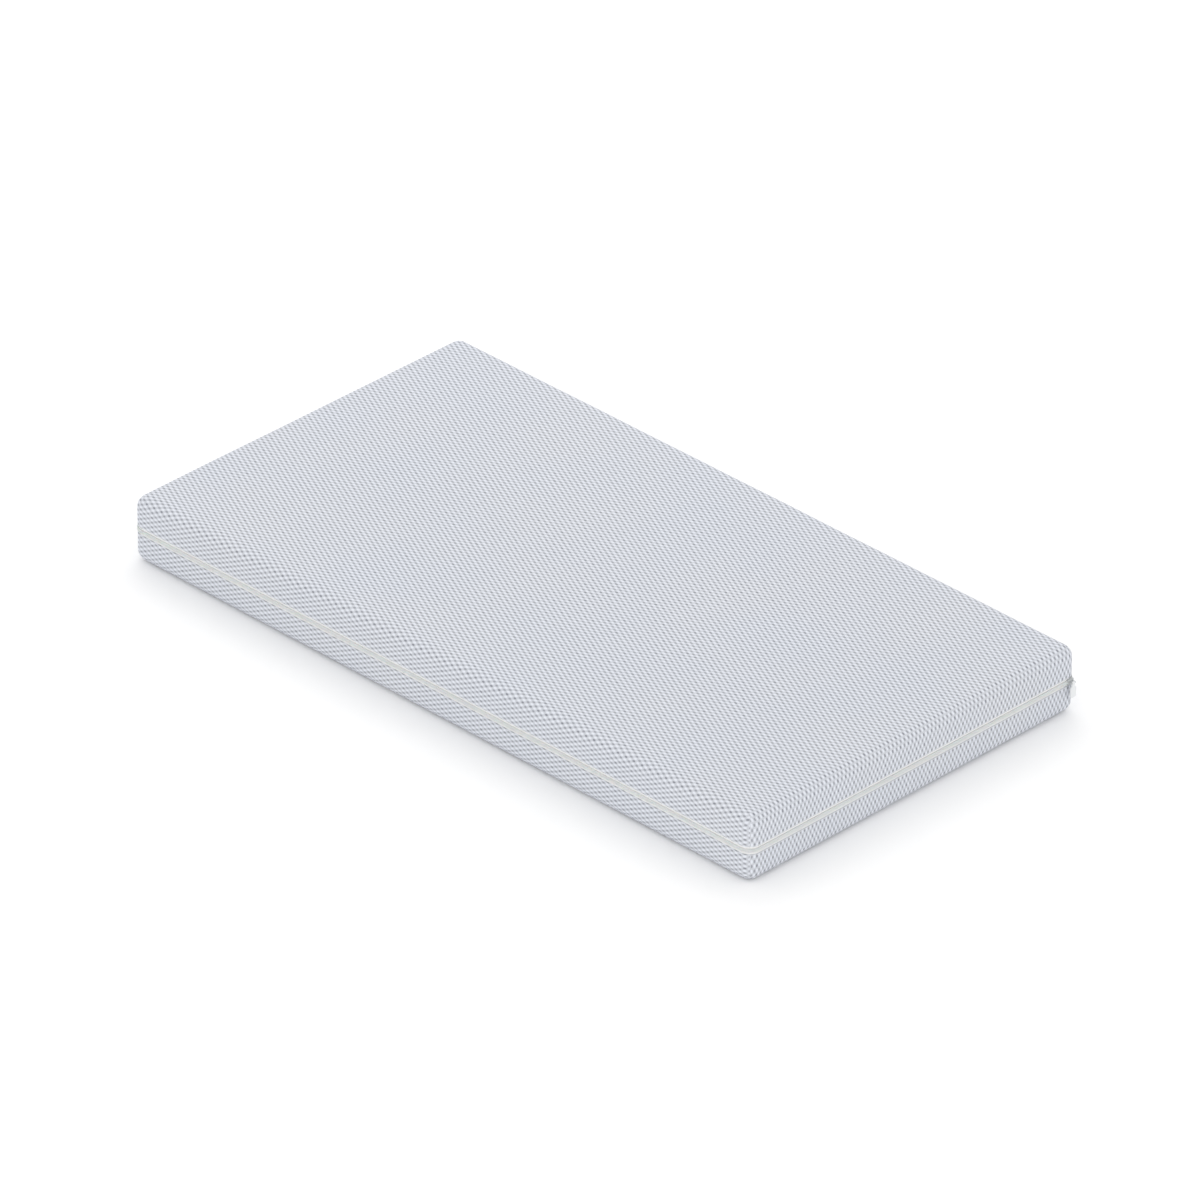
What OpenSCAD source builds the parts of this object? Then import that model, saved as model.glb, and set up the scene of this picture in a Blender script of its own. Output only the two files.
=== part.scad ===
// Memory foam cot mattress in a knitted cover that unzips along the front and both ends.
// The origin is the middle of the underside. X runs along the length, Y from the zipped front
// to the back, where the cover's two halves are one cloth and fold open, and Z is up.
// "Inset" is a distance inwards from the cover's outer face, so a negative inset stands proud.

/* [Mattress] */
// Length of the made-up mattress
mattress_l = 1320; // [900:10:2000]
// Width of the made-up mattress
mattress_w = 700; // [500:10:1600]
// Height of the made-up mattress
mattress_h = 114; // [100:1:200]
// Radius of the long edges and of the upright corners
corner_r = 20; // [18:1:24]

/* [Cover] */
// Thickness of the knitted cloth
fabric_t = 1.6; // [1.2:0.1:2]
// Width of the seam allowance inside each upright corner
seam_w = 6; // [4:1:8]
// Thickness of that seam allowance
seam_t = 1.2; // [0.8:0.1:1.4]
// Gap between the cover's halves along the fold at the back
fold_gap = 0.4; // [0.3:0.1:1]

/* [Core] */
// Thickness of the memory foam on top of the core
memory_t = 30; // [20:5:50]
// Thickness of the adhesive between the two foams
adhesive_t = 0.5; // [0.3:0.1:1]
// Thickness of the stretch sock round the core
sock_t = 1; // [0.6:0.1:1.4]
// Room between the cover's side walls and the sock
side_room = 3.2; // [2.8:0.1:4]
// Room between the cover's top panel and the sock
top_room = 0.4; // [0.3:0.1:1]

/* [Zip] */
// Height of the opening in the cloth where the zip shows
slot_h = 12.4; // [11.4:0.2:14]
// Thickness of the woven tape
tape_t = 0.7; // [0.5:0.1:0.8]
// Height of each tape, from its beaded edge to its hem
tape_w = 12; // [9:0.5:14]
// Height of each coil
coil_w = 3; // [2.6:0.1:3.2]
// Thickness of each coil, measured out from the tape
coil_t = 2.4; // [2:0.1:2.4]
// Size of the sewing thread that stands on the cloth
thread_d = 0.3; // [0.2:0.1:0.4]

/* [Slider] */
// Length of the slider along the zip
slider_l = 12; // [11:1:12]
// Width of the slider across the zip
slider_w = 10; // [9.4:0.2:10.4]
// Thickness of each of the slider's two wings
wing_t = 1.1; // [0.9:0.1:1.1]
// Radius of the crown's bar, which the pull swings on
bar_r = 0.9; // [0.7:0.1:0.9]

/* [Pull] */
// Length of the pull, from the bar to its tip
pull_l = 25; // [20:1:32]
// Width of the pull
pull_w = 12; // [9:1:14]
// Thickness of the pull
pull_t = 2.6; // [2:0.2:3]

/* [Hidden] */
$fn = 96;

// Colours
cloth_c = [0.84, 0.86, 0.89];
lining_c = [0.90, 0.91, 0.91];
tape_c = [0.93, 0.93, 0.90];
coil_c = [0.82, 0.84, 0.83];
thread_c = [0.95, 0.95, 0.93];
memory_c = [0.96, 0.93, 0.80];
base_c = [0.86, 0.90, 0.93];
sock_c = [0.95, 0.95, 0.94];
metal_c = [0.78, 0.79, 0.80];
steel_c = [0.62, 0.63, 0.65];
pull_c = [0.93, 0.94, 0.94];

// Places shared by the parts
side_x = mattress_l / 2;
side_y = mattress_w / 2;
run_x = mattress_l - 2 * corner_r;
run_y = mattress_w - 2 * corner_r;
mid_z = mattress_h / 2;
hair = 0.1;

// Core
sock_in = fabric_t + side_room;
sock_z0 = fabric_t;
sock_z1 = mattress_h - fabric_t - top_room;
foam_in = sock_in + sock_t + hair;
foam_z0 = sock_z0 + sock_t + hair;
foam_z1 = sock_z1 - sock_t - hair;
memory_z0 = foam_z1 - memory_t;
base_z1 = memory_z0 - adhesive_t;

// Zip
tape_in = fabric_t;
tape_gap = 2.2;
coil_gap = 0.15;
coil_in = tape_in - coil_t;
slot_end_y = side_y - 6;
tape_end_y = slot_end_y - 1;
rear_y = run_y / 2;
tape_end_h = slot_h / 2 - 0.2;
stitch_up = slot_h / 2 + 2;
tack_h = 5;
tack_angle = 6;
tack_from = 46;

// Slider: u runs along the zip from the slider's middle, towards the closed end
slider_y = rear_y + 4;
nose_u = slider_l / 2;
coil_end_y = slider_y + 2;
stop_l = 2;
stop_y = slider_y + nose_u + 0.4;
clearance = 0.2;
wing_in = tape_in + tape_t + clearance;
channel_h = 1;
rail_w = 1.5;
diamond_w = 3;
bar_h = 6.6;
foot_l = 1.2;
foot_w = 2;
foot_u = 4.2;
spring_t = 0.3;
pin_u = -2.6;
pin_r = 0.4;

// Pull
barrel_r = 2.1;
barrel_l = 5.2;
barrel_clearance = 0.12;
neck_l = 5;
tip_r = 4;

// ---- Shapes that the parts share ----

// Outline of the mattress seen from above, moved inwards by the inset.
module plan(inset) {
    square([mattress_l - 2 * inset, run_y], center = true);
    square([run_x, mattress_w - 2 * inset], center = true);
    for (x = [-1, 1], y = [-1, 1])
        translate([x * run_x / 2, y * run_y / 2])
            circle(r = corner_r - inset);
}

// A quarter of a disc, above or below its centre.
module quarter(r, up) {
    intersection() {
        circle(r = r);
        translate([0, min(0, up * r)])
            square(r);
    }
}

// Section through one edge of a block, from the upright corner's axis outwards.
module edge_section(r, z0, z1, low, high) {
    from = low ? z0 + r : z0;
    to = high ? z1 - r : z1;
    translate([0, from])
        square([r, to - from]);
    if (high)
        translate([0, to])
            quarter(r, 1);
    if (low)
        translate([0, from])
            quarter(r, -1);
}

// Block with the mattress's outline, its low and high edges rounded where asked.
module block(inset, z0, z1, low, high) {
    r = corner_r - inset;
    corners = [[1, 1, 0], [-1, 1, 90], [-1, -1, 180], [1, -1, 270]];
    translate([-run_x / 2, -run_y / 2, z0])
        cube([run_x, run_y, z1 - z0]);
    for (turn = [0, 180])
        rotate([0, 0, turn]) {
            translate([-run_x / 2, run_y / 2, 0])
                rotate([90, 0, 90])
                    linear_extrude(run_x)
                        edge_section(r, z0, z1, low, high);
            translate([run_x / 2, run_y / 2, 0])
                rotate([90, 0, 0])
                    linear_extrude(run_y)
                        edge_section(r, z0, z1, low, high);
        }
    for (c = corners)
        translate([c.x * run_x / 2, c.y * run_y / 2, 0])
            rotate([0, 0, c.z])
                rotate_extrude(angle = 90)
                    edge_section(r, z0, z1, low, high);
}

// Opening in the cloth for the zip: the front, both ends, and part of the rear corners.
module zip_slot() {
    translate([-mattress_l, -mattress_w, mid_z - slot_h / 2])
        cube([2 * mattress_l, mattress_w + slot_end_y, slot_h]);
}

// Band that follows the zip round the front and both ends, up to where the rear corners start.
module zip_band(inset, t, z0, z1) {
    translate([0, 0, z0])
        linear_extrude(z1 - z0)
            difference() {
                plan(inset);
                plan(inset + t);
                translate([-mattress_l, rear_y])
                    square([2 * mattress_l, mattress_w]);
            }
}

// The band's two straight tails past the start of the rear corners.
module zip_tails(inset, t, end_y, z0, z1) {
    for (x = [-side_x + inset, side_x - inset - t])
        translate([x, rear_y, z0])
            cube([t, end_y - rear_y, z1 - z0]);
}

// Repeats the lower half of the zip as its upper half.
module as_upper() {
    translate([0, 0, 2 * mid_z])
        mirror([0, 0, 1])
            children();
}

// Plate parallel to the mattress's end, drawn with u along the zip and v up, between two heights.
module end_plate(h0, h1) {
    translate([side_x + h0, slider_y, mid_z])
        rotate([90, 0, 90])
            linear_extrude(h1 - h0)
                children();
}

// ---- Cover ----

module cover_top() {
    color(cloth_c)
        difference() {
            block(0, mid_z + fold_gap / 2, mattress_h, false, true);
            block(fabric_t, mid_z - 1, mattress_h - fabric_t, false, true);
            zip_slot();
        }
}

module cover_bottom() {
    color(cloth_c)
        difference() {
            block(0, 0, mid_z - fold_gap / 2, true, false);
            block(fabric_t, fabric_t, mid_z + 1, true, false);
            zip_slot();
        }
}

// Overlocked allowance of the upright seam inside each corner, pressed flat on the cloth.
module corner_seams_lower() {
    inset = fabric_t + hair / 2;
    low = corner_r;
    high = mid_z - tape_gap - tape_w - 0.5;
    color(lining_c)
        translate([0, 0, low])
            linear_extrude(high - low)
                intersection() {
                    difference() {
                        plan(inset);
                        plan(inset + seam_t);
                    }
                    for (x = [-1, 1], y = [-1, 1])
                        translate([x * run_x / 2, y * run_y / 2])
                            rotate([0, 0, 45 * x * y])
                                square([2 * corner_r, seam_w], center = true);
                }
}

module corner_seams_upper() {
    as_upper()
        corner_seams_lower();
}

// ---- Zip ----

module zip_tape_lower() {
    high = mid_z - tape_gap;
    color(tape_c) {
        zip_band(tape_in, tape_t, high - tape_w, high);
        zip_tails(tape_in, tape_t, tape_end_y, mid_z - tape_end_h, high);
    }
}

module zip_tape_upper() {
    as_upper()
        zip_tape_lower();
}

module zip_coil_lower() {
    high = mid_z - coil_gap;
    color(coil_c) {
        zip_band(coil_in, coil_t, high - coil_w, high);
        zip_tails(coil_in, coil_t, coil_end_y, high - coil_w, high);
    }
}

module zip_coil_upper() {
    as_upper()
        zip_coil_lower();
}

// Row of stitches that holds the tape to the cloth.
module tape_stitching_lower() {
    z = mid_z - stitch_up;
    color(thread_c)
        zip_band(-thread_d - hair / 2, thread_d, z - thread_d, z + thread_d);
}

module tape_stitching_upper() {
    as_upper()
        tape_stitching_lower();
}

// Dense stitches on the cloth at each end of the zip.
module bar_tacks_lower() {
    ends = [[1, tack_from], [-1, 180 - tack_from - tack_angle]];
    color(thread_c)
        for (e = ends)
            translate([e.x * run_x / 2, rear_y, mid_z - fold_gap - tack_h])
                rotate([0, 0, e.y])
                    rotate_extrude(angle = tack_angle)
                        translate([corner_r + hair / 2, 0])
                            square([thread_d, tack_h]);
}

module bar_tacks_upper() {
    as_upper()
        bar_tacks_lower();
}

// Clip on each tape's end that the slider's nose meets when the zip is closed.
module top_stop_lower() {
    high = mid_z - tape_gap;
    color(metal_c)
        translate([side_x - tape_in, stop_y, high - 2.4])
            cube([coil_t, stop_l, 2.4]);
}

module top_stop_upper() {
    as_upper()
        top_stop_lower();
}

// Clip over both coils where the zip starts. It stands on the lower tape.
module bottom_stop() {
    half_w = coil_gap + coil_w;
    color(metal_c) {
        translate([-side_x - coil_t + tape_in, coil_end_y + clearance, mid_z - half_w])
            cube([coil_t - clearance, 2 * stop_l, 2 * half_w]);
        translate([-side_x + tape_in - clearance, coil_end_y + clearance, mid_z - half_w])
            cube([clearance, 2 * stop_l, half_w - tape_gap]);
    }
}

// ---- Slider ----

// Outline of a wing: a straight tail, two shoulders and a notched nose.
module wing_outline() {
    w = slider_w / 2;
    polygon([
        [-nose_u, -w + 1.2], [-nose_u + 1, -w + 0.4], [0, -w + 0.4], [nose_u - 3, -w],
        [nose_u - 0.6, -w + 0.3], [nose_u, -w + 1.2], [nose_u, -1.4], [nose_u - 0.8, 0],
        [nose_u, 1.4], [nose_u, w - 1.2], [nose_u - 0.6, w - 0.3], [nose_u - 3, w],
        [0, w - 0.4], [-nose_u + 1, w - 0.4], [-nose_u, w - 1.2]
    ]);
}

// Way through the slider for the two coils, wider at the nose.
module channel_outline() {
    w = slider_w / 2 - rail_w;
    polygon([
        [-slider_l, -w], [0, -w], [slider_l, -w - 0.8],
        [slider_l, w + 0.8], [0, w], [-slider_l, w]
    ]);
}

// Wedge that parts the coils and joins the two wings.
module diamond_outline() {
    w = diamond_w / 2;
    polygon([
        [nose_u - 3.6, 0], [nose_u - 1.6, -w], [nose_u - 0.8, -w + 0.3],
        [nose_u - 0.8, w - 0.3], [nose_u - 1.6, w]
    ]);
}

module slider_body() {
    color(metal_c)
        difference() {
            union() {
                end_plate(-wing_in - wing_t, -wing_in)
                    wing_outline();
                end_plate(-wing_in, channel_h)
                    diamond_outline();
                end_plate(-tape_in + clearance, channel_h)
                    difference() {
                        wing_outline();
                        channel_outline();
                    }
                end_plate(channel_h, channel_h + wing_t)
                    wing_outline();
            }
            end_plate(channel_h - 0.1, channel_h + wing_t + 0.1)
                translate([pin_u, 0])
                    circle(r = pin_r + clearance);
        }
}

// Arch over the outer wing: two feet and the bar that the pull swings on.
module slider_crown() {
    base = channel_h + wing_t;
    color(metal_c) {
        for (u = [-foot_u, foot_u])
            end_plate(base, bar_h + bar_r)
                translate([u, 0])
                    square([foot_l, foot_w], center = true);
        translate([side_x + bar_h, slider_y - foot_u, mid_z])
            rotate([-90, 0, 0])
                cylinder(r = bar_r, h = 2 * foot_u);
    }
}

// Leaf under the arch, with the pin that holds the slider when the pull hangs.
module slider_lock_spring() {
    base = channel_h + wing_t;
    reach = foot_u - foot_l / 2 - hair;
    color(steel_c) {
        end_plate(base + hair, base + hair + spring_t)
            square([2 * reach, foot_w - 0.4], center = true);
        end_plate(channel_h - hair, base + hair)
            translate([pin_u, 0])
                circle(r = pin_r);
    }
}

// Pull: a barrel round the bar, a narrow neck and a broad round-cornered tab hanging from it.
module zip_pull() {
    w = pull_w / 2 - tip_r;
    tip_v = -pull_l + tip_r;
    color(pull_c)
        difference() {
            union() {
                translate([side_x + bar_h, slider_y - barrel_l / 2, mid_z])
                    rotate([-90, 0, 0])
                        cylinder(r = barrel_r, h = barrel_l);
                end_plate(bar_h - pull_t / 2, bar_h + pull_t / 2) {
                    translate([-barrel_l / 2, -neck_l - 1])
                        square([barrel_l, neck_l + 1]);
                    polygon([
                        [-barrel_l / 2, -neck_l], [-pull_w / 2, -neck_l - 4],
                        [-pull_w / 2, tip_v], [pull_w / 2, tip_v],
                        [pull_w / 2, -neck_l - 4], [barrel_l / 2, -neck_l]
                    ]);
                    translate([-w, -pull_l])
                        square([2 * w, tip_r]);
                    for (u = [-w, w])
                        translate([u, tip_v])
                            circle(r = tip_r);
                }
            }
            translate([side_x + bar_h, slider_y - barrel_l, mid_z])
                rotate([-90, 0, 0])
                    cylinder(r = bar_r + barrel_clearance, h = 2 * barrel_l);
        }
}

// ---- Core ----

module core_sock() {
    color(sock_c)
        difference() {
            block(sock_in, sock_z0, sock_z1, true, true);
            block(sock_in + sock_t, sock_z0 + sock_t, sock_z1 - sock_t, true, true);
        }
}

// Overlocked seam that closes the sock, across one end.
module sock_seam() {
    seam_h = 3;
    seam_out = 0.8;
    color(thread_c)
        translate([-side_x + sock_in - seam_out, -run_y / 2, mid_z - seam_h / 2])
            cube([seam_out, run_y, seam_h]);
}

module memory_foam() {
    color(memory_c)
        block(foam_in, memory_z0, foam_z1, false, true);
}

module adhesive_layer() {
    color(base_c)
        translate([0, 0, base_z1])
            linear_extrude(adhesive_t)
                plan(foam_in);
}

module base_foam() {
    color(base_c)
        block(foam_in, foam_z0, base_z1, true, false);
}

// Blank woven label inside the cover, its top edge under the lower tape's hem.
module care_label() {
    label_l = 50;
    label_t = 0.4;
    low = corner_r + 1;
    high = mid_z - tape_gap - tape_w + 4;
    color(tape_c)
        translate([-side_x + tape_in + tape_t + clearance, -label_l / 2, low])
            cube([label_t, label_l, high - low]);
}

cover_top();
cover_bottom();
corner_seams_upper();
corner_seams_lower();
zip_tape_upper();
zip_tape_lower();
zip_coil_upper();
zip_coil_lower();
tape_stitching_upper();
tape_stitching_lower();
bar_tacks_upper();
bar_tacks_lower();
top_stop_upper();
top_stop_lower();
bottom_stop();
slider_body();
slider_crown();
slider_lock_spring();
zip_pull();
core_sock();
sock_seam();
memory_foam();
adhesive_layer();
base_foam();
care_label();
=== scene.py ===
"""Looks of the memory foam cot mattress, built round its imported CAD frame. Units are metres."""

import math

import bmesh
import bpy
import numpy as np
from mathutils import Matrix, Vector


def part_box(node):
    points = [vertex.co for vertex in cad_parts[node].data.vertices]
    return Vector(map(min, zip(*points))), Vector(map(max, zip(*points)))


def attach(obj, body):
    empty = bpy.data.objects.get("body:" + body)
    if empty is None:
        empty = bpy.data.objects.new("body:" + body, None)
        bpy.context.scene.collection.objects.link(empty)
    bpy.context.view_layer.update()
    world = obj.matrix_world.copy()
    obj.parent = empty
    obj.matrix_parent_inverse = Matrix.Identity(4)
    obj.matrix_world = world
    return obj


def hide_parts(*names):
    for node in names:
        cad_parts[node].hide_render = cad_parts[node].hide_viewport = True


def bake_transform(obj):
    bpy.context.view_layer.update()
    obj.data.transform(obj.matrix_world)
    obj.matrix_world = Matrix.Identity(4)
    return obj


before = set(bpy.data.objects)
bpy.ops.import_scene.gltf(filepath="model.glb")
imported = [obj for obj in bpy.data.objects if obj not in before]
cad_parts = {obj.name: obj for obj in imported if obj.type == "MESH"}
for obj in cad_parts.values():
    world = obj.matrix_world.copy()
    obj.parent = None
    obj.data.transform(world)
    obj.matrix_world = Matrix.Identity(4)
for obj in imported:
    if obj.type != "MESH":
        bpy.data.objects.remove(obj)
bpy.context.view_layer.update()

MM = 0.001

# Camera: a long lens from above the corner between the zipped front and the slider's end.
VIEW_AZIMUTH = math.radians(45.0)
VIEW_PITCH = math.radians(31.148)
VIEW_DISTANCE = 18.5765
VIEW_SIDEWAYS = 0.00025
VIEW_UPWARD = 0.0510
LENS_MM = 368.17
SENSOR_MM = 36.0

# Mattress: the cover's box in the frame, the radius of its edges and the thickness of its cloth.
_, cover_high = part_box("cover_top")
HEIGHT = cover_high.z
MID_Z = HEIGHT / 2
EDGE = 20 * MM
FLAT_X = cover_high.x - EDGE
FLAT_Y = cover_high.y - EDGE
SHELL = 1.6 * MM
QUARTER = EDGE * math.pi / 2

# Cloth pattern: a checkerboard of raised lozenges and darker dots, with whole cells on the flat panel.
# A wale is one column of the knit's loops, and a course is one row.
CELLS_X = 154
CELLS_Y = 159
CELL_U = 2 * FLAT_X / CELLS_X
CELL_V = 2 * FLAT_Y / CELLS_Y
PUFF_RISE = 0.16 * MM
DOT_DEPTH = 0.24 * MM
CROWN = 1.0 * MM
RIPPLE = 0.12 * MM
WALE = 0.95 * MM
COURSE = 0.80 * MM

# Zip: the slot between the cover's hems, the chain in it, and the rows of stitching beside it. _OFF is a
# distance from the zip's middle line, and an inset is counted inwards from the wall's face.
SLOT_HALF = 6.2 * MM
HEM_RADIUS = SHELL / 2
RIM_STEPS = 4
STITCH_OFF = 8.2 * MM
STITCH_SINK = 0.35 * MM
STITCH_SINK_REACH = 1.2 * MM
BELT_LENGTH = 4 * FLAT_Y + 2 * FLAT_X + 2 * QUARTER
TAPE_TAIL = EDGE * math.pi / 4
TAPE_STEP = 3 * MM
TAPE_INSET = SHELL
TAPE_THICK = 0.7 * MM
STRIP_EDGE_POINTS = 6
COIL_TAIL = 6 * MM
COIL_PITCH = 1.27 * MM
COIL_RINGS = 8
COIL_FLATNESS = 1.25
COIL_OVERLAP = 0.45 * MM
COIL_MIDDLE = 0.4 * MM
COIL_DEPTH = 0.86 * MM
STRAND = 0.32 * MM
CORE_NEAR, CORE_FAR = 0.8 * MM, 2.5 * MM
CORE_FRONT, CORE_BACK = -0.12 * MM, 0.92 * MM
SEWING_ROWS = (0.55 * MM, 1.35 * MM)
SEWING_RADIUS = 0.13 * MM
SEWING_WAVE = 0.12 * MM
SEWING_STAND = SEWING_RADIUS * 0.4
STITCH_PITCH = 3.0 * MM
STITCH_RADIUS = 0.2 * MM
TACK_PITCH = 0.42 * MM
TACK_ANGLES = (45.5, 52.5)

# Sock, label and inside seams.
SOCK_THICK = 1.0 * MM
SOCK_PULL = 0.25 * MM
FOAM_WAVE = 0.15 * MM
LABEL_CURL = 1.6 * MM
LABEL_TWIST = 0.35
LABEL_ROWS, LABEL_COLUMNS = 15, 25
LABEL_STITCH_PITCH = 2.4 * MM
LABEL_STITCH_LENGTH = 2.0 * MM
LABEL_STITCH_MARGIN = 2.0 * MM
LABEL_THREAD_RADIUS = 0.12 * MM
CORNER_SEAM_RADIUS = EDGE - 2.25 * MM
CORNER_SEAM_WIDTH = 6 * MM
CORNER_SEAM_THICK = 1.0 * MM
SERGE_PITCH = 2.0 * MM
SERGE_RINGS = 8
SERGE_RADIUS = 0.14 * MM
SERGE_WAVE = 0.08 * MM
SERGE_WAVELENGTH = 3.7 * SERGE_PITCH

# Cloth lengths from the flat panel, over the rounded edge and down the wall.
MIDDLE_T = QUARTER + MID_Z - EDGE
HEM_T = MIDDLE_T - SLOT_HALF
STITCH_T = MIDDLE_T - STITCH_OFF
UPPER_CUT_T = 18 * CELL_V
LOWER_CUT_T = 2 * MIDDLE_T - UPPER_CUT_T

# Upright corners: each wall's cloth ends at the mitre, which is sewn.
MITRE = math.pi / 4
MITRE_SINK = 0.3 * MM
MITRE_SINK_REACH = 2 * MM
MITRE_STEPS = 8
EDGE_STEPS = 7

# Each half of the cover carries half of the zip: +1 stands above its middle line, and -1 below.
HALVES = (("upper", 1), ("lower", -1))
BODY_OF = {"upper": "cover_upper", "lower": "mattress"}

# Light: the strength of the white room, and the place, size and power of two soft boxes.
ROOM_LIGHT = 1.01
KEY_BOX = ((-1.6, 1.4, 2.8), (3.0, 2.0), 18.0)
FILL_BOX = ((3.5, -3.5, 1.2), (4.0, 2.0), 18.0)
FLOOR_REACH = 60.0
FLOOR_LEVEL = -0.1 * MM


# ---- meshes


class Patchwork:
    """Gathers patches of faces, and welds them into one mesh with cloth coordinates."""

    def __init__(self):
        self.points = []
        self.coordinates = []
        self.faces = []
        self.count = 0

    def add(self, points, coordinates, *faces):
        """Points (n, 3), coordinates (n, 2) and arrays of faces counted from this patch's first point."""
        self.points.append(points.reshape(-1, 3))
        self.coordinates.append(coordinates.reshape(-1, 2))
        self.faces += [group + self.count for group in faces if len(group)]
        self.count += len(self.points[-1])

    def mesh(self, name, weld=None, sharp=None):
        """The finished mesh. Points nearer than weld are joined; edges over sharp degrees stay crisp."""
        mesh = bpy.data.meshes.new(name)
        points = np.concatenate(self.points)
        coordinates = np.concatenate(self.coordinates)
        corners = np.concatenate([group.ravel() for group in self.faces])
        sizes = np.concatenate([np.full(len(group), group.shape[1]) for group in self.faces])
        mesh.vertices.add(len(points))
        mesh.vertices.foreach_set("co", points.ravel())
        mesh.loops.add(len(corners))
        mesh.loops.foreach_set("vertex_index", corners)
        mesh.polygons.add(len(sizes))
        mesh.polygons.foreach_set("loop_start", np.cumsum(sizes) - sizes)
        mesh.update(calc_edges=True)
        layer = mesh.uv_layers.new(name="cloth")
        layer.data.foreach_set("uv", coordinates[corners].ravel())
        if weld:
            shell = bmesh.new()
            shell.from_mesh(mesh)
            bmesh.ops.remove_doubles(shell, verts=shell.verts, dist=weld)
            bmesh.ops.recalc_face_normals(shell, faces=shell.faces)
            shell.to_mesh(mesh)
            shell.free()
        mesh.shade_smooth()
        if sharp:
            mesh.set_sharp_from_angle(angle=math.radians(sharp))
        mesh.validate()
        return mesh


def grid_faces(rows, columns, crossed=False, wrap=False):
    """Quads of a grid stored row by row. Crossed cells are four triangles round a centre point."""
    index = np.arange(rows * columns).reshape(rows, columns)
    if wrap:
        index = np.concatenate([index, index[:, :1]], axis=1)
    corners = [index[:-1, :-1], index[:-1, 1:], index[1:, 1:], index[1:, :-1]]
    if not crossed:
        return np.stack(corners, axis=-1).reshape(-1, 4)
    centre = rows * columns + np.arange(corners[0].size).reshape(corners[0].shape)
    quarters = [np.stack([corners[i], corners[(i + 1) % 4], centre], axis=-1) for i in range(4)]
    return np.concatenate([quarter.reshape(-1, 3) for quarter in quarters])


def linked(name, data):
    """A new object in the scene."""
    made = bpy.data.objects.new(name, data)
    bpy.context.scene.collection.objects.link(made)
    return made


def piece(name, mesh, body, material, slot, stands_for=()):
    """A finished piece: it rides on a body, or for the cover's fold stays free with its place applied, and
    may stand for CAD nodes.
    """
    made = linked(name, mesh)
    mesh.materials.append(material)
    if body == "fold":
        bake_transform(made)
    else:
        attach(made, body)
    if stands_for:
        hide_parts(*stands_for)
    return made


# ---- rounded blocks


def pattern(u, v):
    """1 at the middle of a raised lozenge and -1 at the middle of a dot."""
    return np.cos(math.pi * (u + FLAT_X) / CELL_U) * np.cos(math.pi * (v + FLAT_Y) / CELL_V)


def turn(t):
    """How far the cloth has turned over the edge, in radians, at a distance t from the flat panel."""
    return np.minimum(t, QUARTER) / EDGE


def panel(a, b):
    """The flat panel: base point, outward direction, distance over the edge, cloth coordinates."""
    none = np.zeros_like(a)
    return a, b, none, none, none, a, b


def wall_along_x(side):
    """The front wall (-1) or the back one."""

    def at(a, t):
        none = np.zeros_like(a)
        return a, side * FLAT_Y + none, none, side + none, t, a, side * (FLAT_Y + t)

    return at


def wall_along_y(side):
    """The end wall at -X (-1) or at +X."""

    def at(a, t):
        none = np.zeros_like(a)
        return side * FLAT_X + none, a, side + none, none, t, side * (FLAT_X + t), a

    return at


def corner_half(side_x, side_y, by_long_wall):
    """Half an upright corner, from a wall to the mitre, with that wall's cloth. a is the angle from it."""

    def at(a, t):
        along = EDGE * a * np.sin(turn(t))
        base_x = side_x * FLAT_X + np.zeros_like(a)
        base_y = side_y * FLAT_Y + np.zeros_like(a)
        if by_long_wall:
            u, v = side_x * (FLAT_X + along), side_y * (FLAT_Y + t)
            return base_x, base_y, side_x * np.sin(a), side_y * np.cos(a), t, u, v
        u, v = side_x * (FLAT_X + t), side_y * (FLAT_Y + along)
        return base_x, base_y, side_x * np.cos(a), side_y * np.sin(a), t, u, v

    return at


def wall_patches(x_lines, y_lines):
    """Every patch of the wall: its place and lines, and whether it is straight and at the back."""
    angles = np.linspace(0, MITRE, MITRE_STEPS + 1)
    for side in (-1, 1):
        back = side > 0
        yield wall_along_x(side), x_lines, True, back
        yield wall_along_y(side), y_lines, True, False
        for side_x in (-1, 1):
            yield corner_half(side_x, side, True), angles, False, back
            yield corner_half(side_x, side, False), angles, False, False


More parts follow.
